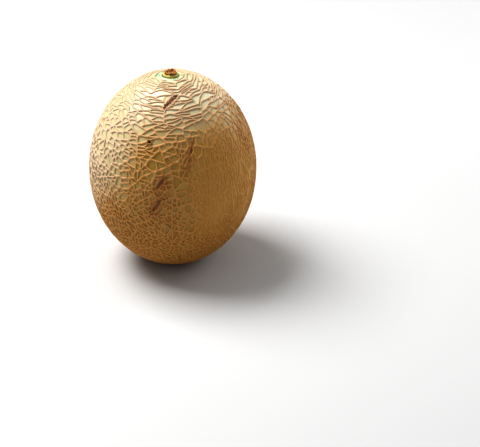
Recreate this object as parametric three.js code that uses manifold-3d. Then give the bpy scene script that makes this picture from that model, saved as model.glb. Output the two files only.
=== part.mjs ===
// A whole ripe cantaloupe melon, standing on its blossom end with the stem end up.
// Units are millimetres and +Z is up. The origin is the centre of the small flat spot that the
// fruit rests on, and +Z runs along the core from the blossom end to the stem end.

import * as THREE from "three";
import { ConvexHull } from "three/addons/math/ConvexHull.js";
import { mergeVertices } from "three/addons/utils/BufferGeometryUtils.js";
import Module from "manifold-3d";

// Driving dimensions of the fruit, over the crests of its net
const WIDTH = 150;
const LENGTH = 181;
const REST_SPOT_RADIUS = 17;

// The net of cork: ridges that close into cells, which lie flat and wide round the stem
const NET_HEIGHT = 1;
const RIDGE_HALF_WIDTH = 1;
const FOOT_REACH_LIMIT = 0.45; // the most of the way from a crest to its cell's middle
const STEM_CELL = { around: 18, down: 8 };
const SIDE_CELL = { around: 11.6, down: 11 };
const STEM_ZONE = THREE.MathUtils.degToRad(50); // polar angle where the wide cells end
const FIRST_RING_RADIUS = 18; // from the core to the first cells outside the stem's bare disc
const BLOSSOM_CELL = 12; // from the core to the last cells
const JITTER = 0.33; // of a cell's size, either way
const NET_SEED = 20;

// The stub of the stem, which is rooted in a round socket in the stem end; heights are above the skin
const STUB_RADIUS = 7.2;
const STUMP_TOP = { radius: 6.6, height: 1.9 }; // the green stump's rounded edge
const CROWN_FOOT = { radius: 5.8, height: 2.7 }; // where the torn brown crown starts
const CROWN_RIM = { radius: 5.3, height: 4.1 };
const CROWN_LIP = { radius: 3.6, height: 3.8 };
const CROWN_FLOOR = { radius: 2.5, height: 2.5 };
const ROOT_DEPTH = 3;
const ROOT_GAP = 0.3;
const STUB_SIDES = 24;
const CROWN_LOBES = { around: 5, depth: 0.09 }; // depth is a share of the radius
const CROWN_TEARS = { around: 3, height: 0.7 }; // of the rim, up and down

// Sizes worked out from those above
const SKIN_RADIUS = WIDTH / 2 - NET_HEIGHT;
const SKIN_HALF_LENGTH = LENGTH / 2 - NET_HEIGHT;
const REST_LEVEL = -SKIN_HALF_LENGTH * Math.sqrt(1 - (REST_SPOT_RADIUS / SKIN_RADIUS) ** 2);
const STEM_LEVEL = SKIN_HALF_LENGTH - REST_LEVEL; // the skin at the stem, above the surface it stands on
const SKIN_AXES = new THREE.Vector3(SKIN_RADIUS, SKIN_RADIUS, SKIN_HALF_LENGTH);
const X_AXIS = new THREE.Vector3(1, 0, 0);
const Z_AXIS = new THREE.Vector3(0, 0, 1);

const wasm = await Module();
wasm.setup();

// A closed geometry as a solid that can be cut
function toSolid(geometry) {
  const bare = geometry.clone().deleteAttribute("normal").deleteAttribute("uv");
  const merged = mergeVertices(bare);
  return new wasm.Manifold(
    new wasm.Mesh({
      numProp: 3,
      vertProperties: merged.getAttribute("position").array,
      triVerts: new Uint32Array(merged.index.array),
    }),
  );
}

function toGeometry(solid) {
  const { vertProperties, triVerts } = solid.getMesh();
  const geometry = new THREE.BufferGeometry();
  geometry.setAttribute("position", new THREE.BufferAttribute(vertProperties, 3));
  geometry.setIndex(new THREE.BufferAttribute(triVerts, 1));
  return geometry;
}

// A linear congruential generator, so that the net grows the same way every time
function seededRandom(seed) {
  let state = seed >>> 0;
  return () => {
    state = (Math.imul(state, 1664525) + 1013904223) >>> 0;
    return state / 2 ** 32;
  };
}

// The direction at an angle from the stem, and at a bearing round the core
function direction(polar, bearing) {
  const reach = Math.sin(polar);
  return new THREE.Vector3(reach * Math.cos(bearing), reach * Math.sin(bearing), Math.cos(polar));
}

// The point of the skin in a direction, and that point raised along the skin's own normal
const onSkin = (way) => way.clone().multiply(SKIN_AXES);
const onCrest = (way) => onSkin(way).addScaledVector(way.clone().divide(SKIN_AXES).normalize(), NET_HEIGHT);
const backToSkin = (point) => onSkin(point.clone().divide(SKIN_AXES).normalize());

// Cell size at a polar angle: wide and low round the stem, even on the side
function cellAt(polar) {
  const share = THREE.MathUtils.smoothstep(polar, 0, STEM_ZONE);
  const between = (key) => THREE.MathUtils.lerp(STEM_CELL[key], SIDE_CELL[key], share);
  return { around: between("around"), down: between("down") };
}

// The middles of the net's cells, as directions: rings round the core, each site shifted at random
function cellMiddles() {
  const random = seededRandom(NET_SEED);
  const shift = () => (random() * 2 - 1) * JITTER;
  const middles = [direction(0, 0)];
  const last = Math.PI - Math.asin(BLOSSOM_CELL / SKIN_RADIUS);
  let polar = Math.asin(FIRST_RING_RADIUS / SKIN_RADIUS);
  while (polar < last) {
    const cell = cellAt(polar);
    const perRadian = Math.hypot(SKIN_RADIUS * Math.cos(polar), SKIN_HALF_LENGTH * Math.sin(polar));
    const step = cell.down / perRadian;
    const count = Math.round((2 * Math.PI * SKIN_RADIUS * Math.sin(polar)) / cell.around);
    const turn = random();
    for (let i = 0; i < count; i++) {
      const bearing = ((i + turn + shift()) * 2 * Math.PI) / count;
      middles.push(direction(polar + shift() * step, bearing));
    }
    polar += step;
  }
  middles.push(direction(Math.PI, 0));
  return middles;
}

// Each cell's corners, in order round its middle: the centres of the triangles that join the middles
function cellCorners(middles) {
  const corners = new Map(middles.map((middle) => [middle, []]));
  for (const face of new ConvexHull().setFromPoints(middles).faces) {
    const points = [0, 1, 2].map((i) => face.getEdge(i).head().point);
    const corner = new THREE.Vector3();
    points.forEach((point) => corner.add(point));
    corner.normalize();
    points.forEach((point) => corners.get(point).push(corner));
  }
  for (const [middle, around] of corners) {
    const east = Z_AXIS.clone().cross(middle).normalize();
    if (east.lengthSq() === 0) east.copy(X_AXIS);
    const north = middle.clone().cross(east);
    const bearing = (corner) => Math.atan2(corner.dot(north), corner.dot(east));
    around.sort((a, b) => bearing(a) - bearing(b));
  }
  return corners;
}

// The fruit's whole skin: every cell is a shallow pan, and its rim is the crest that it shares
function nettedSkin() {
  const points = [];
  for (const [middle, corners] of cellCorners(cellMiddles())) {
    const floor = onSkin(middle);
    const crests = corners.map(onCrest);
    const feet = corners.map((corner) => {
      const foot = onSkin(corner);
      const reach = Math.min(RIDGE_HALF_WIDTH / foot.distanceTo(floor), FOOT_REACH_LIMIT);
      return backToSkin(foot.lerp(floor, reach));
    });
    corners.forEach((_, i) => {
      const next = (i + 1) % corners.length;
      points.push(crests[i], crests[next], feet[next]);
      points.push(crests[i], feet[next], feet[i]);
      points.push(feet[i], feet[next], floor);
    });
  }
  return new THREE.BufferGeometry().setFromPoints(points);
}

// The fruit: one solid, cut flat where it rests and bored for the root of the stub
function makeFruit() {
  const ground = new THREE.BoxGeometry(WIDTH, WIDTH, LENGTH).translate(0, 0, REST_LEVEL - LENGTH / 2);
  const socketRadius = STUB_RADIUS + ROOT_GAP;
  const socketDepth = ROOT_DEPTH + ROOT_GAP;
  const socket = new THREE.CylinderGeometry(socketRadius, socketRadius, 2 * socketDepth, STUB_SIDES)
    .rotateX(Math.PI / 2)
    .translate(0, 0, SKIN_HALF_LENGTH);
  const cut = toSolid(nettedSkin()).subtract(toSolid(ground)).subtract(toSolid(socket));
  return toGeometry(cut).translate(0, 0, -REST_LEVEL);
}

// The stub: a short green stump with a torn, lobed brown rim round a sunken middle
function makeStub() {
  const outline = [
    { radius: 0, height: -ROOT_DEPTH },
    { radius: STUB_RADIUS - ROOT_GAP, height: -ROOT_DEPTH },
    { radius: STUB_RADIUS, height: 0 },
    STUMP_TOP,
    CROWN_FOOT,
    CROWN_RIM,
    CROWN_LIP,
    CROWN_FLOOR,
    { radius: 0, height: CROWN_FLOOR.height },
  ].map(({ radius, height }) => new THREE.Vector2(radius, height));
  const stub = new THREE.LatheGeometry(outline, STUB_SIDES).rotateX(Math.PI / 2);
  const position = stub.getAttribute("position");
  const point = new THREE.Vector3();
  for (let i = 0; i < position.count; i++) {
    point.fromBufferAttribute(position, i);
    const share = THREE.MathUtils.smoothstep(point.z, STUMP_TOP.height, CROWN_RIM.height);
    const bearing = Math.atan2(point.y, point.x);
    const lobe = Math.cos(CROWN_LOBES.around * bearing);
    const swell = 1 + share * CROWN_LOBES.depth * lobe;
    const rise = share * CROWN_TEARS.height * Math.sin(CROWN_TEARS.around * bearing) * lobe;
    position.setXYZ(i, point.x * swell, point.y * swell, point.z + rise);
  }
  return toGeometry(toSolid(stub));
}

// A named piece with its finish
function piece(name, geometry, color, roughness) {
  const mesh = new THREE.Mesh(geometry, new THREE.MeshStandardMaterial({ color, roughness, metalness: 0 }));
  mesh.name = name;
  return mesh;
}

const melon = new THREE.Group();
melon.add(piece("fruit", makeFruit(), "#c9ad7c", 0.75));
const stub = piece("stem_stub", makeStub(), "#7d5f33", 0.85);
stub.position.z = STEM_LEVEL;
melon.add(stub);

export default melon;
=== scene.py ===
# %% [markdown]
# # A netted melon
#
# A cantaloupe is a smooth oval until its skin cracks. While the fruit swells, each crack heals into
# a raised cord of cork, and later cracks run from cord to cord until the whole fruit wears a net.
# This lesson grows the net in that order: first a few dozen wide patches, then the cracks that split
# them, and last the round profile of the cords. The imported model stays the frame, so every size below
# is measured from it or named beside it.

import math
import random

import bmesh
import bpy
import numpy as np
from mathutils import Color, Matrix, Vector, noise


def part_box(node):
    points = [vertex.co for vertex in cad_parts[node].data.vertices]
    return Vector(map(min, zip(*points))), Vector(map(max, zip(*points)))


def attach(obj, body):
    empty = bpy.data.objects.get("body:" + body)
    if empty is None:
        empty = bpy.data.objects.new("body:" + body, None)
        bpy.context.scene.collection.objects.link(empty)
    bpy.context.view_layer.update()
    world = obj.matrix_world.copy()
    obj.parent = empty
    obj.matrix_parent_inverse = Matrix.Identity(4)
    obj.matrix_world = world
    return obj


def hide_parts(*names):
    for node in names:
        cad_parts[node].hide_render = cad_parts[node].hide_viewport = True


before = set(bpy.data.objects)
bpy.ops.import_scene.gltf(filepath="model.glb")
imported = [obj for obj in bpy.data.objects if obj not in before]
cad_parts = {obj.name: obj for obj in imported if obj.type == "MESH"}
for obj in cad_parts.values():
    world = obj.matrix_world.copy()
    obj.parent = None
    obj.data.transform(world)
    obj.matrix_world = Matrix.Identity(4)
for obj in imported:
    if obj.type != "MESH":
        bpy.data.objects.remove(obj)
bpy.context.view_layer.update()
mm = 0.001
print("nodes:", sorted(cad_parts))

# %% [markdown]
# ## The skin under the net
#
# The skin is an ellipsoid that stands on a small flat spot. Its two half sizes come from the boxes
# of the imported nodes: the width from the fruit, less the net, and the length from the place where
# the stem is rooted. A point is put on the skin by shrinking the ellipsoid to a unit ball, where
# that is a plain normalise, and growing it back.

# %% Measure the skin
NET_HEIGHT = 1.0 * mm
REST_SPOT_RADIUS = 17 * mm
ROOT_DEPTH = 3 * mm

fruit_low, fruit_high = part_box("fruit")
skin_radius = (fruit_high.x - fruit_low.x) / 2 - NET_HEIGHT
stem_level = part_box("stem_stub")[0].z + ROOT_DEPTH
flat_share = math.sqrt(1 - (REST_SPOT_RADIUS / skin_radius) ** 2)
skin_half_length = stem_level / (1 + flat_share)
skin_axes = Vector((skin_radius, skin_radius, skin_half_length))
middle = Vector((0, 0, skin_half_length * flat_share))
up = Vector((0, 0, 1))
print("skin half sizes in mm:", [round(x / mm, 2) for x in skin_axes])


def times(a, b):
    """Two vectors multiplied along each axis."""
    return Vector((a.x * b.x, a.y * b.y, a.z * b.z))


def over(a, b):
    """One vector divided by another along each axis."""
    return Vector((a.x / b.x, a.y / b.y, a.z / b.z))


def way_to(point):
    """The direction of a point on the unit ball that the ellipsoid shrinks to."""
    return over(point - middle, skin_axes).normalized()


def skin_at(way):
    """The point of the skin in a direction of the unit ball."""
    return middle + times(way, skin_axes)


def outward(point):
    """The skin's own normal under a point."""
    return over(way_to(point), skin_axes).normalized()


def stem_angle(point):
    """Degrees from the stem to a point, round the unit ball."""
    return math.degrees(math.acos(max(-1, min(1, way_to(point).z))))


# %% [markdown]
# ## The camera
#
# The camera comes early, because the marks on the skin are placed by where the picture shows them.
# It stands 27 degrees above the melon's middle, far enough off that the outline stays a true oval.
# Blender can aim a camera at a point, but that point would land in the middle of the frame. Here the
# melon has to sit up and to the left, so the aim is worked out backwards from the pixel that its
# middle should fall on.

# %% Place the camera
FRAME_PIXELS = Vector((480, 447))
MIDDLE_PIXEL = Vector((173.0, 167.4))
SIGHT_ELEVATION = math.radians(27)
CAMERA_DISTANCE = 1.3
FOCAL_PIXELS = 1451.6
SENSOR_WIDTH = 36


def frame_slope(pixel):
    """How far right and up a pixel lies from the frame's middle, per unit of depth."""
    away = (pixel - FRAME_PIXELS / 2) / FOCAL_PIXELS
    return Vector((away.x, -away.y))


def aim_at(pixel, elevation):
    """Pitch and yaw that put a point seen from this elevation on a pixel."""
    slope = frame_slope(pixel)
    reach = math.sqrt(1 + slope.length_squared)
    pitch = math.atan(slope.y) + math.asin(reach * math.sin(elevation) / math.hypot(1, slope.y))
    yaw = -math.atan2(slope.x, math.cos(pitch) + slope.y * math.sin(pitch))
    return pitch, yaw


pitch, yaw = aim_at(MIDDLE_PIXEL, SIGHT_ELEVATION)
camera = bpy.data.objects.new("camera", bpy.data.cameras.new("camera"))
bpy.context.scene.collection.objects.link(camera)
camera.data.sensor_width = SENSOR_WIDTH
camera.data.lens = FOCAL_PIXELS * SENSOR_WIDTH / FRAME_PIXELS.x
to_camera = Vector((0, -math.cos(SIGHT_ELEVATION), math.sin(SIGHT_ELEVATION)))
camera.location = middle + CAMERA_DISTANCE * to_camera
camera.rotation_euler = (math.pi / 2 - pitch, 0, -yaw)
bpy.context.scene.camera = camera
print("lens:", round(camera.data.lens, 1), "mm, pitch:", round(math.degrees(pitch), 2))


# %% Find the skin under a pixel
def seen_at(x, y):
    """The point of the skin that the camera sees at a pixel of the frame."""
    slope = frame_slope(Vector((x, y)))
    ray = camera.rotation_euler.to_matrix() @ Vector((slope.x, slope.y, -1))
    start = over(camera.location - middle, skin_axes)
    step = over(ray, skin_axes)
    half = start.dot(step) / step.length_squared
    reach = -half - math.sqrt(half ** 2 - (start.length_squared - 1) / step.length_squared)
    return camera.location + reach * ray


print("front middle in mm:", [round(x / mm, 1) for x in seen_at(*MIDDLE_PIXEL)])

# %% [markdown]
# ## Where the net changes
#
# The cords near the stem run round it in long low cells. Down the side the cells become small and
# even, and at the blossom end they are tiny. One side of the fruit lay on the ground: there the skin
# is golden and smooth, and its faint cords run up and down. The wanted cell size at any place is
# therefore a small table along the way from stem to blossom, bent by how near the ground patch is.

# %% Sizes of the cells
CELL_STOPS = (0, 25, 45, 62, 85, 110, 135, 180)  # degrees from the stem
CELL_AROUND = (18, 14, 9.2, 7.0, 5.3, 4.4, 3.8, 3.8)  # millimetres round the fruit
CELL_DOWN = (3.8, 4.0, 4.7, 5.6, 6.4, 6.2, 4.8, 4.2)  # millimetres from stem to blossom
GROUND_CELL = (3.2, 9.0)  # millimetres round and down, where the fruit lay on the ground
GROUND_MIDDLE = seen_at(236, 176)
GROUND_REACH = (20, 52)  # degrees from its middle: all ground patch, and none of it
GROUND_RAGGED = (14 * mm, 9)  # length of the noise on its edge, and strength in degrees
GROUND_TOP = (25, 55)  # degrees from the stem where its upright cells begin, and are complete
LOOSE_ZONE = (30, 70)  # degrees from the stem where cells begin to turn, and turn freely
PATCH_LENGTH = 16 * mm  # of the slow changes in cell size
PATCH_STRENGTH = 0.42
TURN_LENGTH = 34 * mm  # of the slow changes in the way that the cells lie
MOST_TURN = math.radians(75)
TURN_SHIFT = Vector((7, 0, 0))  # keeps these changes apart from those in size


def fade(x, start, end):
    """A smooth step from 0 at start to 1 at end."""
    t = max(0, min(1, (x - start) / (end - start)))
    return t * t * (3 - 2 * t)


def ground_share(point):
    """1 on the ground patch and 0 away from it, with a ragged edge."""
    turn = math.degrees(way_to(point).angle(way_to(GROUND_MIDDLE)))
    length, strength = GROUND_RAGGED
    return 1 - fade(turn + strength * noise.noise(point / length), *GROUND_REACH)


def cell_size(point):
    """Width round the fruit and height down it that the cells have here, in metres."""
    angle = stem_angle(point)
    share = ground_share(point) * fade(angle, *GROUND_TOP)
    patch = 1 + PATCH_STRENGTH * noise.noise(point / PATCH_LENGTH)
    around = np.interp(angle, CELL_STOPS, CELL_AROUND)
    down = np.interp(angle, CELL_STOPS, CELL_DOWN)
    around += share * (GROUND_CELL[0] - around)
    down += share * (GROUND_CELL[1] - down)
    return around * patch * mm, down * patch * mm


def cell_axes(point):
    """The two directions along the skin that the cells line up with here."""
    normal = outward(point)
    east = up.cross(normal).normalized()
    north = normal.cross(east)
    loose = fade(stem_angle(point), *LOOSE_ZONE) * (1 - ground_share(point))
    turn = MOST_TURN * loose * noise.noise(point / TURN_LENGTH + TURN_SHIFT)
    along = east * math.cos(turn) + north * math.sin(turn)
    return along, north * math.cos(turn) - east * math.sin(turn)


# %% [markdown]
# ## The first cracks
#
# The first cracks part the skin into a few dozen wide patches. Each patch grows from a seed: one at
# the stem, a ring of them round its bare disc, and the rest on a spiral that spreads them evenly. A
# convex hull joins the seeds into triangles, and the patches are what lies between: poke puts a
# corner in every triangle, rotate_edges turns each old edge to join two corners, and dissolve_verts
# takes the seeds away. What is left is one many-sided face for every patch.

# %% Seeds of the patches
NET_SEED = 20
STEM_RING_SEEDS = 7
STEM_RING_RADIUS = 24 * mm
SPIRAL_SEEDS = 96
SPIRAL_START = math.radians(31)  # from the stem
SPIRAL_TURN = math.pi * (3 - math.sqrt(5))
SEED_SHIFT = 0.16  # on the unit ball, either way

net_draws = random.Random(NET_SEED)
noise.seed_set(NET_SEED)


def way_from(polar, bearing):
    """The direction at an angle from the stem and a bearing round the core."""
    reach = math.sin(polar)
    return Vector((reach * math.cos(bearing), reach * math.sin(bearing), math.cos(polar)))


seeds = [up.copy()]
for i in range(STEM_RING_SEEDS):
    seeds.append(way_from(math.asin(STEM_RING_RADIUS / skin_radius), math.tau * i / STEM_RING_SEEDS))
for i in range(SPIRAL_SEEDS):
    level = math.cos(SPIRAL_START) - (1 + math.cos(SPIRAL_START)) * (i + 0.5) / SPIRAL_SEEDS
    shift = Vector([net_draws.uniform(-SEED_SHIFT, SEED_SHIFT) for _ in range(3)])
    seeds.append((way_from(math.acos(level), i * SPIRAL_TURN) + shift).normalized())
print("patches:", len(seeds))


# %% Turn the seeds into patches
def onto_skin(verts):
    """Moves vertices straight onto the skin."""
    for vert in verts:
        vert.co = skin_at(way_to(vert.co))


rind = bmesh.new()
for way in seeds:
    rind.verts.new(skin_at(way))
seed_verts = list(rind.verts)
bmesh.ops.convex_hull(rind, input=seed_verts)
bmesh.ops.recalc_face_normals(rind, faces=rind.faces[:])
seed_edges = list(rind.edges)
bmesh.ops.poke(rind, faces=rind.faces[:], center_mode="MEAN")
bmesh.ops.rotate_edges(rind, edges=seed_edges)
bmesh.ops.dissolve_verts(rind, verts=seed_verts)
onto_skin(rind.verts)
print("patches:", len(rind.faces), "corners:", len(rind.verts), "cords:", len(rind.edges))

# %% [markdown]
# ## The later cracks
#
# A cell that is still too large for its place is split by a crack across its longest way, as mud
# dries, and the halves are split again. face_split does the cutting: two edges of the cell get a new
# corner each, and a new edge joins them. A crack ends against the cord that was there before it, and
# that gives the net its T-shaped joints. Each new cord remembers its rank, the number of splits
# before it, because late cords stay thinner and lower.

# %% Split cells that are too large
SPARE = (0.7, 1.9)  # wanted sizes that a cell may keep, least and most
CRACK_TURN = math.radians(24)  # either way from straight across
CRACK_SHIFT = 0.25  # of the cell's spread, off its middle
CRACK_TRIES = 6  # of which the one that keeps furthest from old corners is made

rank_of_edge = rind.edges.layers.int.new("rank")
rank_of_cell = rind.faces.layers.int.new("rank")


def flat_cell(face):
    """The cell's corners on the tangent plane, counted in wanted cell widths and heights."""
    centre = face.calc_center_median()
    east, north = cell_axes(centre)
    around, down = cell_size(centre)
    offsets = [vert.co - centre for vert in face.verts]
    return [Vector((offset.dot(east) / around, offset.dot(north) / down)) for offset in offsets]


def flat_area(points):
    """Area inside a flat outline."""
    pairs = zip(points, points[1:] + points[:1])
    return abs(sum(a.x * b.y - b.x * a.y for a, b in pairs)) / 2


def long_way(points):
    """The middle of a flat outline, the direction it is longest in, and its spread that way."""
    pairs = list(zip(points, points[1:] + points[:1]))
    weights = [(b - a).length for a, b in pairs]
    halves = [(a + b) / 2 for a, b in pairs]
    centre = sum((w * h for w, h in zip(weights, halves)), Vector((0, 0))) / sum(weights)
    xx = sum(w * (h - centre).x ** 2 for w, h in zip(weights, halves))
    yy = sum(w * (h - centre).y ** 2 for w, h in zip(weights, halves))
    xy = sum(w * (h - centre).x * (h - centre).y for w, h in zip(weights, halves))
    turn = math.atan2(2 * xy, xx - yy) / 2
    spread = math.sqrt(max(xx, yy) / sum(weights))
    return centre, turn, spread


def place_key(element):
    """Sorts cells or cords by place, so that the draws fall the same way every time."""
    spots = [vert.co for vert in element.verts]
    return tuple(round(x, 6) for x in sum(spots, Vector()) / len(spots))


def crossings(face, points, centre, turn):
    """The edges that a straight crack would cross, with the share of each before the crossing."""
    across = Vector((math.cos(turn), math.sin(turn)))
    sides = [(p - centre).dot(across) for p in points]
    crossed = []
    for i, loop in enumerate(face.loops):
        here, there = sides[i], sides[(i + 1) % len(sides)]
        if (here < 0) != (there < 0):
            crossed.append((loop.edge, loop.vert, here / (here - there)))
    return sorted(crossed, key=lambda cut: place_key(cut[0]))


def clearance(crossed):
    """How far the ends of a crack would stay from the corners, in metres."""
    return min(min(share, 1 - share) * edge.calc_length() for edge, _, share in crossed)


def crack(face):
    """Splits a cell across its longest way and returns the new half, or None if it can't."""
    points = flat_cell(face)
    centre, turn, spread = long_way(points)
    along = Vector((math.cos(turn), math.sin(turn)))
    tries = []
    for _ in range(CRACK_TRIES):
        start = centre + along * spread * CRACK_SHIFT * net_draws.uniform(-1, 1)
        crossed = crossings(face, points, start, turn + net_draws.uniform(-CRACK_TURN, CRACK_TURN))
        if len(crossed) == 2:
            tries.append(crossed)
    if not tries:
        return None
    ends = [bmesh.utils.edge_split(*cut)[1] for cut in max(tries, key=clearance)]
    half, _ = bmesh.utils.face_split(face, *ends)
    for edge in half.edges:
        if face in edge.link_faces:
            edge[rank_of_edge] = face[rank_of_cell] + 1
    face[rank_of_cell] += 1
    half[rank_of_cell] = face[rank_of_cell]
    return half


def find_stem_cell():
    """The cell that the stem stands in, which is the highest."""
    return max(rind.faces, key=lambda face: face.calc_center_median().z)


stem_cell = find_stem_cell()
waiting = sorted((face for face in rind.faces if face is not stem_cell), key=place_key)
while waiting:
    cell = waiting.pop()
    if flat_area(flat_cell(cell)) < net_draws.uniform(*SPARE):
        continue
    half = crack(cell)
    if half:
        waiting += [cell, half]
onto_skin(rind.verts)
print("cells:", len(rind.faces), "cords:", len(rind.edges))
print("highest rank:", max(edge[rank_of_edge] for edge in rind.edges))
print("net in metres:", round(sum(e.calc_length() for e in rind.edges), 1))

# %% [markdown]
# ## Long cords round the stem
#
# Near the stem the cords run round it with little between them. So some of the edges that point away
# from the stem are dissolved there, which joins the cells on either side into longer ones.

# %% Join cells round the stem
RING_ZONE = (13, 38)  # degrees from the stem
SPOKE_SLANT = 0.6  # the most that a spoke may lean along the ring
SPOKE_DROP = 0.62  # of the spokes


def ring_slant(edge):
    """1 where an edge runs round the fruit, and 0 where it runs down it."""
    start, end = (vert.co for vert in edge.verts)
    east = up.cross(outward(start)).normalized()
    return abs((end - start).normalized().dot(east))


def is_spoke(edge):
    """Whether an edge points away from the stem, in the zone of the long cords."""
    angle = stem_angle((edge.verts[0].co + edge.verts[1].co) / 2)
    return RING_ZONE[0] < angle < RING_ZONE[1] and ring_slant(edge) < SPOKE_SLANT


stem_cell = find_stem_cell()
stem_edges = set(stem_cell.edges)
spokes = [edge for edge in rind.edges if edge not in stem_edges and is_spoke(edge)]
spokes.sort(key=place_key)
dropped = []
joined = set()
for edge in spokes:
    pair = set(edge.link_faces)
    if net_draws.random() < SPOKE_DROP and not pair & joined:
        dropped.append(edge)
        joined |= pair
bmesh.ops.dissolve_edges(rind, edges=dropped, use_verts=False, use_face_split=False)
print("spokes dissolved:", len(dropped), "of", len(spokes), "- cells:", len(rind.faces))

# %% [markdown]
# ## Cords that wander
#
# Cracks are straight and cords are not. bisect_edges gives the long edges more vertices without
# touching the faces, three kinds of noise push the vertices about along the skin, and smooth_vert
# takes the sharpest kinks out again.

# %% Bend the cords
CORD_STEP = 2.1 * mm
MOST_CUTS = 20
SWAY = ((26 * mm, 3.4 * mm), (8 * mm, 1.7 * mm), (3.2 * mm, 0.85 * mm))  # length and strength
SWAY_ZONE = (4, 22)  # degrees from the stem where the sway begins, and is full
SMOOTH_SHARE = 0.4


def cuts_for(edge):
    """How many more vertices an edge needs."""
    return min(MOST_CUTS, round(edge.calc_length() / CORD_STEP) - 1)


for cuts in range(1, MOST_CUTS + 1):
    long_edges = [edge for edge in rind.edges if cuts_for(edge) == cuts]
    bmesh.ops.bisect_edges(rind, edges=long_edges, cuts=cuts)
for vert in rind.verts:
    free = fade(stem_angle(vert.co), *SWAY_ZONE)
    for length, strength in SWAY:
        vert.co += noise.noise_vector(vert.co / length) * strength * free
onto_skin(rind.verts)
bmesh.ops.smooth_vert(
    rind, verts=rind.verts[:], factor=SMOOTH_SHARE, use_axis_x=True, use_axis_y=True, use_axis_z=True
)
onto_skin(rind.verts)
shortest = min(edge.calc_length() for edge in rind.edges)
print("cord edges:", len(rind.edges), "shortest in mm:", round(shortest / mm, 2))

# %% [markdown]
# ## Round cords with a crisp foot
#
# Every edge of the net is now the middle line of a cord. inset_individual, called twice, gives each
# cell a ring for the shoulder of its cords and a ring for their foot. The operator only makes the
# faces: the rings are then placed one by one, because the width of a cord depends on its rank, and a
# small cell leaves it less room. The foot ring is eased a little, so that cells have round corners,
# and its edges are marked sharp, so that the shading breaks where cork meets skin.

# %% Add the rings
RING_START = 0.3 * mm
net_of = rind.verts.layers.float.new("net")  # 1 on a crest, 0 on bare skin
tone_of = rind.verts.layers.float.new("tone")  # a number of its own for each cell
ground_of = rind.verts.layers.float.new("ground")  # 1 where the fruit lay on the ground
stem_cell = find_stem_cell()
cells = rind.faces[:]
cell_room = {cell: cell.calc_area() / cell.calc_perimeter() for cell in cells}
crest_verts = rind.verts[:]
crest_edges = {vert: list(vert.link_edges) for vert in crest_verts}
crest_rank = {vert: min(edge[rank_of_edge] for edge in crest_edges[vert]) for vert in crest_verts}


def inset_ring(faces):
    """Insets every face and returns each new vertex with the one that it was drawn in from."""
    bmesh.ops.inset_individual(rind, faces=faces, thickness=RING_START, use_even_offset=False)
    drawn_from = {}
    for face in faces:
        ring_edges = set(face.edges)
        for vert in face.verts:
            spoke = next(edge for edge in vert.link_edges if edge not in ring_edges)
            drawn_from[vert] = spoke.other_vert(vert)
    return drawn_from


crest_of = inset_ring(cells)
shoulder_of = inset_ring(cells)
print("rings added:", len(crest_of), "and", len(shoulder_of), "vertices")

# %% Place the rings
CORD_HALF_WIDTH = (1.15 * mm, 0.82 * mm)  # of the first cords, and of the last
CORD_HEIGHT = (0.98 * mm, 0.76 * mm)
LAST_RANK = 7
CORD_ROOM = 0.86  # of a cell's area over its outline
SHOULDER_OUT = 0.58  # of the way from crest to foot
SHOULDER_UP = 0.80  # of the crest's height
EASE_ROUNDS = 2
KNOBBLE_LENGTH = 3.6 * mm
KNOBBLE_STRENGTH = 0.3
GROUND_LOSS = 0.6  # of a cord's height, on the ground patch
SPOKE_LOSS = 0.6  # of a cord's size, where it runs straight away from the stem
SPOKE_ZONE = (30, 60)  # degrees from the stem where that loss begins to fade, and is gone


def by_rank(sizes, rank):
    """A size between the first cord's and the last's."""
    return sizes[0] + (sizes[1] - sizes[0]) * min(1, rank / LAST_RANK)


def knobble(point):
    """How full a cord is at a place."""
    return 1 + KNOBBLE_STRENGTH * noise.noise(point / KNOBBLE_LENGTH)


def eased(ring):
    """A closed ring of points, each drawn to the middle of its neighbours."""
    before = ring[-1:] + ring[:-1]
    after = ring[1:] + ring[:1]
    return [(2 * p + a + b) / 4 for a, p, b in zip(before, ring, after)]


def along_ring(vert):
    """1 where the cords at a vertex run round the fruit, and 0 where they run down it."""
    return sum(ring_slant(edge) for edge in crest_edges[vert]) / len(crest_edges[vert])


crest_full = {}
for vert in crest_verts:
    near_stem = 1 - fade(stem_angle(vert.co), *SPOKE_ZONE)
    crest_full[vert] = 1 - SPOKE_LOSS * near_stem * (1 - along_ring(vert))
crest_lift = {}
for vert in crest_verts:
    strength = knobble(vert.co) * (1 - GROUND_LOSS * ground_share(vert.co)) * crest_full[vert]
    crest_lift[vert] = by_rank(CORD_HEIGHT, crest_rank[vert]) * strength
for cell in cells:
    crests = [crest_of[shoulder_of[vert]] for vert in cell.verts]
    feet = []
    for crest, vert in zip(crests, cell.verts):
        width = by_rank(CORD_HALF_WIDTH, crest_rank[crest]) * knobble(crest.co + up * KNOBBLE_LENGTH)
        width *= crest_full[crest]
        inward = (vert.co - crest.co).normalized()
        feet.append(crest.co + inward * min(width, CORD_ROOM * cell_room[cell]))
    for _ in range(EASE_ROUNDS):
        feet = eased(feet)
    for crest, foot, vert in zip(crests, feet, cell.verts):
        shoulder = shoulder_of[vert]
        vert.co = skin_at(way_to(foot))
        shoulder.co = crest.co.lerp(vert.co, SHOULDER_OUT)
        lift = outward(shoulder.co) * crest_lift[crest] * SHOULDER_UP
        shoulder.co = skin_at(way_to(shoulder.co)) + lift
for vert in crest_verts:
    vert.co += outward(vert.co) * crest_lift[vert]
lifts = [round(lift / mm, 2) for lift in crest_lift.values()]
print("crests rise", min(lifts), "to", max(lifts), "mm")

# %% Close the cells and keep what the finish needs
FOOT_NET = 0.12  # how corky the foot of a cord is
SHOULDER_NET = 0.8
LONG_CELL_ZONE = 46  # degrees from the stem that long bent cells reach to

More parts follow.
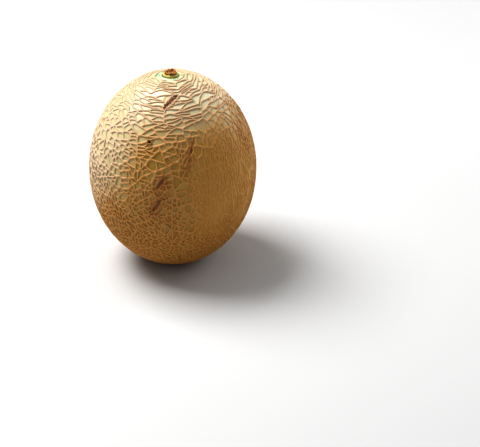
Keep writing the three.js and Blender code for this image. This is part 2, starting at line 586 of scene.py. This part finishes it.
floor_cells = [cell for cell in cells if cell is not stem_cell]
for vert in crest_verts:
    vert[net_of] = 1
for cell in sorted(cells, key=place_key):
    tone = net_draws.random()
    for vert in cell.verts:
        vert[net_of] = FOOT_NET
        vert[tone_of] = tone
        shoulder_of[vert][net_of] = SHOULDER_NET
        shoulder_of[vert][tone_of] = tone
    for edge in cell.edges:
        edge.smooth = False
long_cells = [cell for cell in floor_cells if stem_angle(cell.calc_center_median()) < LONG_CELL_ZONE]
bmesh.ops.triangulate(rind, faces=long_cells, quad_method="BEAUTY", ngon_method="BEAUTY")
floor_cells = [cell for cell in floor_cells if cell.is_valid and len(cell.verts) > 3]
poked = bmesh.ops.poke(rind, faces=floor_cells, center_mode="MEAN")
onto_skin(poked["verts"])
for vert in poked["verts"]:
    vert[tone_of] = next(iter(vert.link_edges)).other_vert(vert)[tone_of]
for vert in rind.verts:
    vert[ground_of] = ground_share(vert.co)
    vert.co.z = max(vert.co.z, 0)
print("faces:", len(rind.faces))

# %% [markdown]
# ## The bare disc round the stem
#
# Little cracks right beside the stem. The skin there is a smooth disc with one broken ring of cord,
# and it rises into a lip round the socket that the stem is rooted in. The stem cell of the net is
# still one flat many-sided face, so it is inset again and again, and each new ring is moved to a
# radius and a height of its own.

# %% Shape the disc and the socket
DISC_RINGS = (  # millimetres from the core, millimetres above the skin, and how corky
    (12.3, 0.0, 0.0), (11.7, 0.05, 0.1), (11.2, 0.6, 0.9), (10.7, 0.65, 1.0), (10.2, 0.05, 0.1),
    (9.6, 0.1, 0.0), (9.0, 0.45, 0.0), (8.3, 0.55, 0.0), (7.8, 0.3, 0.0), (7.5, -0.6, 0.0), (7.45, -2.9, 0.0),
)
DISC_WAVE = 0.35  # of a ring's height, up and down
DISC_WOBBLE = 0.12  # of a ring's radius, in and out
WOBBLE_ZONE = (8 * mm, 10 * mm)  # inside it the rings are perfectly round, and outside it free
WAVE_STEP = 3 * mm  # between rings whose waves are alike
CORD_BREAK = (-0.35, 0.1)  # of the wave, where the broken ring of cord ends, and is whole


def skin_level(radius):
    """How high the skin stands at a distance from the core, on the stem's half."""
    return middle.z + skin_half_length * math.sqrt(1 - (radius / skin_radius) ** 2)


for radius, height, corky in DISC_RINGS:
    radius *= mm
    height *= mm
    bmesh.ops.inset_individual(rind, faces=[stem_cell], thickness=RING_START, use_even_offset=False)
    for vert in stem_cell.verts:
        bearing = Vector((vert.co.x, vert.co.y, 0)).normalized()
        wave = noise.noise(bearing * 2 + up * radius / WAVE_STEP)
        loose = fade(radius, *WOBBLE_ZONE)
        vert.co = bearing * radius * (1 + DISC_WOBBLE * wave * loose)
        vert.co.z = skin_level(radius) + height * (1 + DISC_WAVE * wave)
        vert[net_of] = corky * fade(wave, *CORD_BREAK)
        vert[tone_of] = 0.5
socket_floor = bmesh.ops.poke(rind, faces=[stem_cell])
for face in rind.faces:
    face.smooth = True
socket_level = socket_floor["verts"][0].co.z
print("disc rings:", len(DISC_RINGS), "socket floor at", round(socket_level / mm, 1), "mm")

# %% [markdown]
# ## Scars
#
# This melon has been knocked about: a slash near the stem, a small hole with a lip, and two gashes
# lower down. A scar is a trough between two rims of new cork. The places are named as pixels and laid
# on the skin. Round each one, subdivide_edges makes the faces small enough to hold the shape, and the
# vertices are then lifted or sunk by their distance from the scar's middle line.

# %% Cut the scars into the rind
SCARS = (  # start and end pixel, then half width, depth and rim in millimetres
    ((164.6, 108.2), (176.8, 96.2), 1.9, 0.6, 1.0),
    ((149.0, 141.4), (149.6, 142.2), 1.7, 1.6, 1.9),
    ((157.2, 188.0), (163.8, 178.4), 1.7, 0.6, 0.5),
    ((153.2, 210.4), (160.0, 200.6), 1.6, 0.6, 0.5),
    ((160.8, 200.2), (170.0, 197.2), 0.45, 0.35, 0.2),
    ((192.2, 143.0), (191.6, 155.0), 0.5, 0.3, 0.25),
    ((221.8, 190.2), (222.6, 189.8), 0.45, 0.5, 0.2),
)
FINE_EDGE = 0.75 * mm
COARSE_EDGE = 10 * mm  # the longest that an edge may be before it is split
SCAR_REACH = 2.8  # half widths that a scar changes the rind for
HOLD_EDGE = (1.7, SCAR_REACH)  # half widths where its own shape begins to fade, and is gone
TROUGH_EDGE = (0.3, 1.15)
BROWN_EDGE = (0.75, 1.35)
CORK_EDGE = (0.9, 1.4)
RIM_MIDDLE = 1.5
RIM_SPREAD = 0.45
RIM_NET = 0.9  # how corky a rim is
SCAR_TAPER = 0.4  # of the half width, at both ends
RAGGED_LENGTH = 1.4 * mm
RAGGED_WIDTH = 0.35
RAGGED_HEIGHT = 0.4
RAGGED_MARGIN = 1.5  # covers the widest that a ragged scar gets
scar_of = rind.verts.layers.float.new("scar")  # 1 in the trough of a scar


def segment_spot(point, start, end):
    """Distance from a point to a line from start to end, and the share of the way along it."""
    line = end - start
    share = max(0, min(1, (point - start).dot(line) / line.length_squared))
    return (point - start - share * line).length, share


def levels_near(start, end, reach):
    """The lowest and highest level within reach of a line, for a quick first test."""
    return min(start.z, end.z) - reach, max(start.z, end.z) + reach


def refine(start, end, reach):
    """Splits the faces near a line until their edges are short."""
    low, high = levels_near(start, end, reach + COARSE_EDGE)
    edges = [edge for edge in rind.edges if low < edge.verts[0].co.z < high]
    while True:
        long_edges = []
        for edge in edges:
            centre = (edge.verts[0].co + edge.verts[1].co) / 2
            if edge.calc_length() > FINE_EDGE and segment_spot(centre, start, end)[0] < reach:
                long_edges.append(edge)
        if not long_edges:
            return
        cut = bmesh.ops.subdivide_edges(rind, edges=long_edges, cuts=1, use_grid_fill=True)
        new_verts = [part for part in cut["geom_split"] if isinstance(part, bmesh.types.BMVert)]
        touched = dict.fromkeys(face for vert in new_verts for face in vert.link_faces)
        bmesh.ops.triangulate(rind, faces=[face for face in touched if len(face.verts) > 4])
        edges = list(dict.fromkeys(edge for vert in new_verts for edge in vert.link_edges))


def sink(start, end, half_width, depth, rim):
    """Turns the rind near a line into a trough with a raised rim."""
    reach = SCAR_REACH * half_width * RAGGED_MARGIN
    low, high = levels_near(start, end, reach)
    for vert in rind.verts:
        if not low < vert.co.z < high:
            continue
        distance, share = segment_spot(vert.co, start, end)
        if distance > reach:
            continue
        ragged = noise.noise(vert.co / RAGGED_LENGTH)
        taper = 1 - SCAR_TAPER + SCAR_TAPER * math.sin(math.pi * share)
        width = half_width * taper * (1 + RAGGED_WIDTH * ragged)
        across = distance / width
        skin = skin_at(way_to(vert.co))
        height = (vert.co - skin).dot(outward(vert.co))
        raised = rim * math.exp(-((across - RIM_MIDDLE) / RIM_SPREAD) ** 2)
        wanted = raised - depth * (1 - fade(across, *TROUGH_EDGE))
        hold = 1 - fade(across, *HOLD_EDGE)
        height += hold * (wanted * (1 + RAGGED_HEIGHT * ragged) - height)
        vert.co = skin + outward(vert.co) * height
        vert[scar_of] = max(vert[scar_of], 1 - fade(across, *BROWN_EDGE))
        vert[net_of] += hold * (fade(across, *CORK_EDGE) * RIM_NET - vert[net_of])
        if hold > 0.5:
            for edge in vert.link_edges:
                edge.smooth = True


for start_pixel, end_pixel, half_width, depth, rim in SCARS:
    start, end = seen_at(*start_pixel), seen_at(*end_pixel)
    refine(start, end, SCAR_REACH * half_width * mm)
    sink(start, end, half_width * mm, depth * mm, rim * mm)
print("scars:", len(SCARS), "faces now:", len(rind.faces))

# %% Note where the rind is stained
STAINS = (  # start and end pixel, reach in millimetres, strength
    ((154, 212), (166, 178), 9, 0.9),
    ((188, 158), (192, 142), 4.5, 1.0),
    ((186, 172), (189, 160), 7, 0.8),
    ((237, 128), (248, 146), 8, 0.8),
    ((228, 104), (238, 118), 8, 0.5),
    ((168, 168), (178, 152), 9, 0.35),
)
STAIN_LENGTH = 5 * mm  # of the noise on a stain's edge
STAIN_RAGGED = 0.5
stain_of = rind.verts.layers.float.new("stain")  # 1 where the rind is stained brown
for start_pixel, end_pixel, reach, strength in STAINS:
    start, end = seen_at(*start_pixel), seen_at(*end_pixel)
    low, high = levels_near(start, end, 2 * reach * mm)
    for vert in rind.verts:
        if low < vert.co.z < high:
            ragged = 1 + STAIN_RAGGED * noise.noise(vert.co / STAIN_LENGTH)
            distance = segment_spot(vert.co, start, end)[0] * ragged
            vert[stain_of] = max(vert[stain_of], strength * (1 - fade(distance, 0, reach * mm)))
print("stained vertices:", sum(vert[stain_of] > 0.1 for vert in rind.verts))

# %% Make the rind a piece
rind_mesh = bpy.data.meshes.new("netted_rind")
rind.to_mesh(rind_mesh)
rind_piece = bpy.data.objects.new("netted_rind", rind_mesh)
bpy.context.scene.collection.objects.link(rind_piece)
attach(rind_piece, "root")
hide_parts("fruit")
print("triangles:", sum(len(p.vertices) - 2 for p in rind_mesh.polygons))

# %% [markdown]
# ## The stub of the stem
#
# The stem broke off and left a stub: a squat green stump, and on it a crown of torn brown fibres
# round a sunken middle. A lathe shape fits the stump, so a profile is spun round the core. The torn
# crown is then roughened: some of its faces are drawn out into lumps with extrude_discrete_faces,
# noise tears the rim, and one level of subdivision rounds what is left.

# %% Spin the stub
STUB_PROFILE = (  # millimetres from the core, and above the skin
    (0, -2.7), (6.6, -2.7), (6.95, -1.2), (7.1, 0.0), (7.15, 0.6), (6.95, 1.1), (6.6, 1.5), (6.1, 1.8),
    (5.5, 2.05), (5.2, 2.4), (5.3, 2.8), (5.1, 3.2), (4.6, 3.4), (4.0, 3.3), (3.4, 2.9), (2.8, 2.4),
    (2.1, 2.1), (1.1, 2.2), (0, 2.3),
)
STUB_STEPS = 30

stub = bmesh.new()
crown_of = stub.verts.layers.float.new("crown")  # 0 on the green stump, 1 on the torn crown
profile = []
for radius, height in STUB_PROFILE:
    profile.append(stub.verts.new((radius * mm, 0, stem_level + height * mm)))
chain = [stub.edges.new(pair) for pair in zip(profile, profile[1:])]
bmesh.ops.spin(
    stub, geom=profile + chain, axis=up, cent=(0, 0, 0), angle=math.tau, steps=STUB_STEPS, use_merge=True
)
bmesh.ops.remove_doubles(stub, verts=stub.verts[:], dist=0.01 * mm)
bmesh.ops.recalc_face_normals(stub, faces=stub.faces[:])
print("stub faces:", len(stub.faces))

# %% Tear the crown
STUB_SEED = 5
CROWN_EDGE = (1.4 * mm, 2.9 * mm)  # above the skin: all stump, and all crown
RIB_EDGE = (-0.5 * mm, 0.8 * mm)  # above the skin where the ribs begin, and are full
LUMP_SHARE = 0.3  # of the crown's faces that become a lump
LUMP_RISE = (0.4 * mm, 1.2 * mm)
LUMP_TIP = 0.6  # size of a lump's tip
LUMP_LEAN = 0.6  # how much a lump turns upwards
LUMP_CROWN = 1.6  # marks the tips, which get orange flecks and a painted highlight
TEAR = ((4.0 * mm, 0.8 * mm), (1.7 * mm, 0.6 * mm))  # length and strength of the noises on the crown
STUMP_RIBS = 7
RIB_DEPTH = 0.4 * mm

stub_draws = random.Random(STUB_SEED)
for vert in stub.verts:
    height = vert.co.z - stem_level
    torn = fade(height, *CROWN_EDGE)
    vert[crown_of] = torn
    bearing = math.atan2(vert.co.y, vert.co.x)
    rib = fade(height, *RIB_EDGE) * (1 - torn) * math.cos(STUMP_RIBS * bearing)
    vert.co += Vector((vert.co.x, vert.co.y, 0)).normalized() * RIB_DEPTH * rib
    for length, strength in TEAR:
        vert.co += noise.noise_vector(vert.co / length) * strength * torn
quads = [face for face in stub.faces if len(face.verts) == 4]
crown_faces = [face for face in quads if min(vert[crown_of] for vert in face.verts) > 0.9]
crown_faces.sort(key=place_key)
lumps = [face for face in crown_faces if stub_draws.random() < LUMP_SHARE]
drawn = bmesh.ops.extrude_discrete_faces(stub, faces=lumps)["faces"]
for face in drawn:
    centre = face.calc_center_median()
    rise = (face.normal + up * LUMP_LEAN).normalized() * stub_draws.uniform(*LUMP_RISE)
    for vert in face.verts:
        vert.co = centre + (vert.co - centre) * LUMP_TIP + rise
        vert[crown_of] = LUMP_CROWN
for face in stub.faces:
    face.smooth = True
stub_mesh = bpy.data.meshes.new("stem_stub_torn")
stub.to_mesh(stub_mesh)
stub_piece = bpy.data.objects.new("stem_stub_torn", stub_mesh)
bpy.context.scene.collection.objects.link(stub_piece)
rounding = stub_piece.modifiers.new("rounding", "SUBSURF")
rounding.levels = 1
rounding.render_levels = 1
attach(stub_piece, "root")
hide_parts("stem_stub")
print("lumps on the crown:", len(lumps))

# %% [markdown]
# ## Helpers for materials
#
# A material is a tree of nodes. A few small helpers keep the trees readable: one adds a node and
# feeds its inputs, and the others wrap the nodes that are used most. A value that is a socket is
# linked, and any other value is set.

# %% Node helpers
def feed(tree, socket, value):
    """Links a socket to an output, or sets it to a plain value."""
    if isinstance(value, bpy.types.NodeSocket):
        tree.links.new(value, socket)
    else:
        socket.default_value = value


def add_node(tree, kind, inputs=None, **settings):
    """A new node with its settings made and its named inputs fed."""
    node = tree.nodes.new("ShaderNode" + kind)
    for name, value in settings.items():
        setattr(node, name, value)
    for name, value in (inputs or {}).items():
        feed(tree, node.inputs[name], value)
    return node


def mixed(tree, share, low, high):
    """A colour between two colours."""
    node = add_node(tree, "Mix", data_type="RGBA")
    feed(tree, node.inputs[0], share)
    feed(tree, node.inputs[6], low)
    feed(tree, node.inputs[7], high)
    return node.outputs[2]


def calc(tree, operation, a, b=0.0):
    """Two values put together."""
    node = add_node(tree, "Math", operation=operation)
    feed(tree, node.inputs[0], a)
    feed(tree, node.inputs[1], b)
    return node.outputs[0]


def step_up(tree, value, start, end, low=0.0, high=1.0):
    """A smooth step from low at start to high at end."""
    node = add_node(tree, "MapRange", interpolation_type="SMOOTHSTEP")
    names = ("Value", "From Min", "From Max", "To Min", "To Max")
    for name, fed in zip(names, (value, start, end, low, high)):
        feed(tree, node.inputs[name], fed)
    return node.outputs[0]


def paint(red, green, blue):
    """A colour for a node, from the 0 to 255 that a swatch gives."""
    linear = Color((red / 255, green / 255, blue / 255)).from_srgb_to_scene_linear()
    return (*linear, 1.0)


def attribute(tree, name):
    """A number that the mesh carries at its vertices."""
    return add_node(tree, "Attribute", attribute_name=name).outputs["Fac"]


def noise_at(tree, where, scale, detail=3.0, roughness=0.5):
    """Cloudy noise, 0 to 1."""
    inputs = {"Vector": where, "Scale": scale, "Detail": detail, "Roughness": roughness}
    return add_node(tree, "TexNoise", inputs).outputs["Fac"]


# %% [markdown]
# ## Cork grain, shared by the net and the stub
#
# Cork and dry stem have the same skin: pale and dark flecks a millimetre long, and pits as fine as
# dust. Both materials need it, so it is a node group with one input for its size and two outputs, a
# fleck mask for colour and a height for bump. It works on Object coordinates, which hold still
# however the melon is turned.

# %% Build the cork grain group
def new_group(name, inputs, outputs):
    """An empty node group with float sockets, and its input and output nodes."""
    group = bpy.data.node_groups.new(name, "ShaderNodeTree")
    for socket, default in inputs.items():
        made = group.interface.new_socket(socket, in_out="INPUT", socket_type="NodeSocketFloat")
        made.default_value = default
    for socket in outputs:
        group.interface.new_socket(socket, in_out="OUTPUT", socket_type="NodeSocketFloat")
    return group, group.nodes.new("NodeGroupInput"), group.nodes.new("NodeGroupOutput")


cork_grain, cork_in, cork_out = new_group("cork_grain", {"Scale": 900.0}, ("Flecks", "Height"))
cork_place = add_node(cork_grain, "TexCoord").outputs["Object"]
coarse = noise_at(cork_grain, cork_place, cork_in.outputs["Scale"], detail=4.0, roughness=0.6)
fine_scale = calc(cork_grain, "MULTIPLY", cork_in.outputs["Scale"], 3.1)
pits = add_node(cork_grain, "TexVoronoi", {"Vector": cork_place, "Scale": fine_scale}).outputs["Distance"]
cork_grain.links.new(step_up(cork_grain, coarse, 0.32, 0.68), cork_out.inputs["Flecks"])
cork_height = calc(cork_grain, "ADD", coarse, calc(cork_grain, "MULTIPLY", pits, 0.5))
cork_grain.links.new(cork_height, cork_out.inputs["Height"])
print("group:", cork_grain.name, "with", len(cork_grain.nodes), "nodes")

# %% [markdown]
# ## Specks
#
# Soil and tiny dead spots pepper the whole fruit. A Voronoi texture scatters one point per cell, and
# only the points whose own random number is high enough become a speck.

# %% Build the specks group
specks, specks_in, specks_out = new_group("specks", {"Scale": 260.0, "Amount": 0.2, "Size": 0.2}, ("Mask",))
specks_place = add_node(specks, "TexCoord").outputs["Object"]
scatter = add_node(specks, "TexVoronoi", {"Vector": specks_place, "Scale": specks_in.outputs["Scale"]})
lot = add_node(specks, "SeparateColor", {"Color": scatter.outputs["Color"]}).outputs[0]
chosen = calc(specks, "LESS_THAN", lot, specks_in.outputs["Amount"])
near = step_up(specks, scatter.outputs["Distance"], specks_in.outputs["Size"], 0.0)
specks.links.new(calc(specks, "MULTIPLY", chosen, near), specks_out.inputs["Mask"])
print("group:", specks.name, "with", len(specks.nodes), "nodes")


def add_group(tree, group, **inputs):
    """Places a node group in a tree with its own values."""
    node = add_node(tree, "Group", node_tree=group)
    for name, value in inputs.items():
        feed(tree, node.inputs[name], value)
    return node


# %% [markdown]
# ## The rind's finish
#
# Two finishes meet on the rind: satin skin in the cells, and dull cork on the cords. The net
# attribute, with a little noise on it, says which is which. The skin changes from mint round the stem
# to white-green at the top, olive on the side and gold where the melon lay on the ground, and each
# cell has a tone of its own. Skin and cork grow paler at the top, partly their own colour and partly
# painted light where the key light falls from above, and the side that faces the key light is painted
# paler still, as painted light. The flanks of the cords are painted shade: ochre, darker than their
# crests. Lower down, skin and cork turn darker and more golden. All of this could be painted by hand
# on a picture, but masks made from place and noise stay sharp at any distance.

# %% Make the rind material
SKIN_OLIVE = paint(172, 141, 65)
SKIN_GREEN = paint(192, 172, 100)
# darker, more golden skin for the lower part
SKIN_LOWER_GOLD = paint(150, 105, 36)
SKIN_GOLD = paint(186, 138, 62)
# skin of the top: partly its own pale colour, partly painted light from above
SKIN_PALE_LIT = paint(219, 222, 194)
SKIN_STEM = paint(132, 160, 116)
SKIN_MINT = paint(194, 205, 172)
# painted light: paler skin for the side that faces the key light
SKIN_KEY_LIT = paint(199, 195, 154)
CORK_LIGHT = paint(203, 155, 95)
CORK_DARK = paint(174, 125, 66)
# cork of the top: partly its own pale colour, partly painted light from above
CORK_PALE_LIT = paint(190, 162, 134)
# painted light: paler cork for the side that faces the key light
CORK_KEY_LIT = paint(188, 164, 138)
# darker, more golden cork for the lower part
CORK_LOWER_GOLD = paint(181, 128, 58)
CORK_GOLD = paint(192, 142, 70)
RUST = paint(146, 84, 36)
SCAR_BROWN = paint(124, 78, 40)
# painted shade: ochre for the flanks of the cords, where shade falls at their foot
SHADE_OCHRE = paint(148, 102, 24)
SPECK_BROWN = paint(96, 60, 30)
KEY_LIT_SIDE = Vector((-0.8, 0, 0.45))  # the way that the side with painted light faces, towards the key light
KEY_LIT_EDGE = (0.081, 0.112)  # metres that way where the painted light begins, and is full
PALE_LIT_EDGE = (0.145, 0.187)  # metres up where the paler top, partly painted light, begins, and is full
LOWER_GOLD_EDGE = (0.155, 0.075)  # metres up where the darker, more golden lower part begins, and is full
MINT_EDGE = (25 * mm, 11 * mm)  # from the core where the mint disc begins, and is full
UPPER_HALF = (0.1, 0.12)  # metres up, which keeps the mint off the blossom end


def new_material(name):
    """A material with an empty tree but for its shader and output."""
    material = bpy.data.materials.new(name)
    material.use_nodes = True
    return material, material.node_tree, material.node_tree.nodes["Principled BSDF"]


rind_finish, tree, shader = new_material("rind")
place = add_node(tree, "TexCoord").outputs["Object"]
axes = add_node(tree, "SeparateXYZ", {"Vector": place}).outputs
net, tone, ground = (attribute(tree, name) for name in ("net", "tone", "ground"))
scar, stain = (attribute(tree, name) for name in ("scar", "stain"))
grain = add_group(tree, cork_grain, Scale=900.0).outputs
clouds = noise_at(tree, place, 55.0, detail=4.0)
wisps = noise_at(tree, place, 420.0, detail=3.0)
squares = [calc(tree, "POWER", axes[name], 2.0) for name in "XY"]
off_core = calc(tree, "SQRT", calc(tree, "ADD", *squares))
# paler top: partly the fruit's own colour, partly painted light where the key falls
pale_lit_level = calc(tree, "ADD", axes["Z"], calc(tree, "MULTIPLY", clouds, 0.03))
off_ground = calc(tree, "SUBTRACT", 1.0, calc(tree, "MULTIPLY", ground, 0.7))
pale_lit_top = calc(tree, "MULTIPLY", step_up(tree, pale_lit_level, *PALE_LIT_EDGE), off_ground)
# darker and more golden towards the bottom
low_gold_level = calc(tree, "ADD", axes["Z"], calc(tree, "MULTIPLY", clouds, 0.05))
lower_gold = step_up(tree, low_gold_level, *LOWER_GOLD_EDGE)
upper = step_up(tree, axes["Z"], *UPPER_HALF)
by_stem = calc(tree, "MULTIPLY", step_up(tree, off_core, *MINT_EDGE), upper)
# painted light: a mask for the side that faces the key light, ragged with noise
key_lit = add_node(tree, "VectorMath", operation="DOT_PRODUCT")
feed(tree, key_lit.inputs[0], place)
feed(tree, key_lit.inputs[1], KEY_LIT_SIDE)
ragged_key_lit = calc(tree, "ADD", key_lit.outputs["Value"], calc(tree, "MULTIPLY", clouds, 0.015))
painted_lit_side = step_up(tree, ragged_key_lit, *KEY_LIT_EDGE)
patches = step_up(tree, noise_at(tree, place, 150.0), 0.42, 0.58)
print("masks made for", rind_finish.name)

# %% Colour the skin and the cords
skin = mixed(tree, step_up(tree, calc(tree, "ADD", tone, clouds), 0.7, 1.4), SKIN_OLIVE, SKIN_GREEN)
skin = mixed(tree, lower_gold, skin, mixed(tree, calc(tree, "MULTIPLY", tone, 0.35), SKIN_LOWER_GOLD, skin))
skin = mixed(tree, ground, skin, SKIN_GOLD)
# paler skin at the top, partly painted light
skin = mixed(tree, pale_lit_top, skin, SKIN_PALE_LIT)
# painted light on the skin of the side that faces the key light
skin = mixed(tree, calc(tree, "SQRT", painted_lit_side), skin, SKIN_KEY_LIT)
skin = mixed(tree, by_stem, skin, mixed(tree, patches, SKIN_MINT, SKIN_STEM))
cork = mixed(tree, grain["Flecks"], CORK_DARK, CORK_LIGHT)
cork = mixed(tree, calc(tree, "MULTIPLY", lower_gold, 0.75), cork, CORK_LOWER_GOLD)
cork = mixed(tree, calc(tree, "MULTIPLY", ground, 0.8), cork, CORK_GOLD)
# paler cork at the top, partly painted light
cork = mixed(tree, calc(tree, "MULTIPLY", pale_lit_top, 0.85), cork, CORK_PALE_LIT)
# painted light on the cork of that side
cork = mixed(tree, painted_lit_side, cork, CORK_KEY_LIT)
rough_net = calc(tree, "ADD", net, calc(tree, "MULTIPLY", calc(tree, "SUBTRACT", wisps, 0.5), 0.5))
on_cord = step_up(tree, rough_net, 0.28, 0.62)
# painted shade: the flanks of the cords turn ochre, less so on the ground patch
painted_foot_shade = calc(tree, "MULTIPLY", step_up(tree, net, 0.08, 0.18), step_up(tree, net, 0.62, 0.3))
painted_foot_shade = calc(tree, "MULTIPLY", painted_foot_shade, step_up(tree, ground, 0.0, 1.0, 0.7, 0.2))
colour = mixed(tree, on_cord, skin, cork)
colour = mixed(tree, painted_foot_shade, colour, SHADE_OCHRE)
stained = calc(tree, "MULTIPLY", stain, step_up(tree, wisps, 0.3, 0.6))
colour = mixed(tree, calc(tree, "MULTIPLY", stained, 0.75), colour, RUST)
colour = mixed(tree, scar, colour, mixed(tree, step_up(tree, wisps, 0.5, 0.7), SCAR_BROWN, RUST))
dots = add_group(tree, specks, Scale=240.0, Amount=0.12, Size=0.2).outputs["Mask"]
colour = mixed(tree, calc(tree, "MULTIPLY", dots, 0.5), colour, SPECK_BROWN)
feed(tree, shader.inputs["Base Color"], colour)
feed(tree, shader.inputs["Roughness"], step_up(tree, on_cord, 0.0, 1.0, 0.42, 0.78))
relief = calc(tree, "MULTIPLY", grain["Height"], step_up(tree, on_cord, 0.0, 1.0, 0.12, 1.0))
bump = add_node(tree, "Bump", {"Height": relief, "Strength": 0.5, "Distance": 0.25 * mm})
feed(tree, shader.inputs["Normal"], bump.outputs["Normal"])
rind_mesh.materials.append(rind_finish)
print("rind nodes:", len(tree.nodes))

# %% [markdown]
# ## The stub's finish
#
# The stump is still green and faintly ribbed, while the crown is dry and brown. The tips of its lumps
# are orange: partly flecks where broken vessel ends show, and partly painted highlight where they
# catch the light. The crown attribute parts the two, and the cork grain roughens both.

# %% Make the stub material
STUMP_GREEN = paint(150, 146, 58)
STUMP_OLIVE = paint(194, 176, 104)
CROWN_BROWN = paint(146, 88, 38)
CROWN_DARK = paint(82, 46, 22)
# orange of the crown: flecks of broken vessel ends, and painted highlight on the lump tips
ORANGE_FLECKS_AND_HIGHLIGHT = paint(224, 164, 78)
FIBRE_SQUEEZE = (1.0, 1.0, 0.3)  # stretches the fibres along the core

stub_finish, tree, shader = new_material("stem")
place = add_node(tree, "TexCoord").outputs["Object"]
squeezed = add_node(tree, "Mapping", {"Vector": place, "Scale": FIBRE_SQUEEZE}).outputs["Vector"]
crown = attribute(tree, "crown")
fibres = noise_at(tree, squeezed, 1100.0, detail=4.0)
mottle = noise_at(tree, place, 620.0, detail=2.0)
grain = add_group(tree, cork_grain, Scale=1400.0).outputs
stump = mixed(tree, fibres, STUMP_GREEN, STUMP_OLIVE)
torn = mixed(tree, step_up(tree, mottle, 0.35, 0.6), CROWN_DARK, CROWN_BROWN)
# orange on the lump tips: partly flecks, partly painted highlight
vessels_and_highlight = calc(tree, "MULTIPLY", step_up(tree, crown, 1.0, 1.25), step_up(tree, mottle, 0.36, 0.56))
torn = mixed(tree, vessels_and_highlight, torn, ORANGE_FLECKS_AND_HIGHLIGHT)
ragged_crown = calc(tree, "ADD", crown, calc(tree, "MULTIPLY", calc(tree, "SUBTRACT", fibres, 0.5), 0.6))
colour = mixed(tree, step_up(tree, ragged_crown, 0.3, 0.6), stump, torn)
dots = add_group(tree, specks, Scale=700.0, Amount=0.25, Size=0.3).outputs["Mask"]
colour = mixed(tree, calc(tree, "MULTIPLY", dots, 0.6), colour, CROWN_DARK)
feed(tree, shader.inputs["Base Color"], colour)
feed(tree, shader.inputs["Roughness"], step_up(tree, crown, 0.3, 0.9, 0.55, 0.85))
stub_relief = calc(tree, "ADD", grain["Height"], fibres)
bump = add_node(tree, "Bump", {"Height": stub_relief, "Strength": 0.6, "Distance": 0.25 * mm})
feed(tree, shader.inputs["Normal"], bump.outputs["Normal"])
stub_mesh.materials.append(stub_finish)
print("stub nodes:", len(tree.nodes))

# %% [markdown]
# ## Floor and light
#
# The melon stands on a plain pale floor under one large soft light, high on the left and a little
# behind it. That leaves the front in its own shade, so that the net stands out, and the pale
# surroundings fill the shade with a faint light. A weak light from the right lifts the far edge.

# %% Lay the floor
FLOOR_HALF_SIZE = 4.0
FLOOR_WHITE = paint(188, 188, 188)
FLOOR_GREY = paint(184, 184, 184)

floor_bm = bmesh.new()
bmesh.ops.create_grid(floor_bm, x_segments=2, y_segments=2, size=FLOOR_HALF_SIZE)
floor_mesh = bpy.data.meshes.new("floor")
floor_bm.to_mesh(floor_mesh)
floor = bpy.data.objects.new("floor", floor_mesh)
bpy.context.scene.collection.objects.link(floor)
floor_finish, tree, shader = new_material("floor")
place = add_node(tree, "TexCoord").outputs["Object"]
feed(tree, shader.inputs["Base Color"], mixed(tree, noise_at(tree, place, 3.0), FLOOR_GREY, FLOOR_WHITE))
shader.inputs["Roughness"].default_value = 0.7
floor_mesh.materials.append(floor_finish)
print("floor:", FLOOR_HALF_SIZE * 2, "m across")

# %% Set the lights
KEY_PLACE = Vector((-0.70, 0.38, 1.24))  # from the melon's middle
KEY_SIZE = 0.9
KEY_POWER = 33
RIM_PLACE = Vector((1.15, 0.7, 0.5))
RIM_SIZE = 1.0
RIM_POWER = 7
SURROUND = 0.33


def add_area_light(name, place, size, power):
    """A square light that looks at the melon's middle."""
    light = bpy.data.lights.new(name, "AREA")
    light.size = size
    light.energy = power
    lamp = bpy.data.objects.new(name, light)
    bpy.context.scene.collection.objects.link(lamp)
    lamp.location = middle + place
    lamp.rotation_euler = (-place).to_track_quat("-Z", "Y").to_euler()


add_area_light("key", KEY_PLACE, KEY_SIZE, KEY_POWER)
add_area_light("rim", RIM_PLACE, RIM_SIZE, RIM_POWER)
world = bpy.data.worlds.new("surround")
world.use_nodes = True
world.node_tree.nodes["Background"].inputs["Strength"].default_value = SURROUND
world.node_tree.nodes["Background"].inputs["Color"].default_value = (1, 1, 1, 1)
bpy.context.scene.world = world
bpy.context.scene.view_settings.view_transform = "Standard"
bpy.context.scene.view_settings.look = "High Contrast"
print("key light:", KEY_POWER, "W")
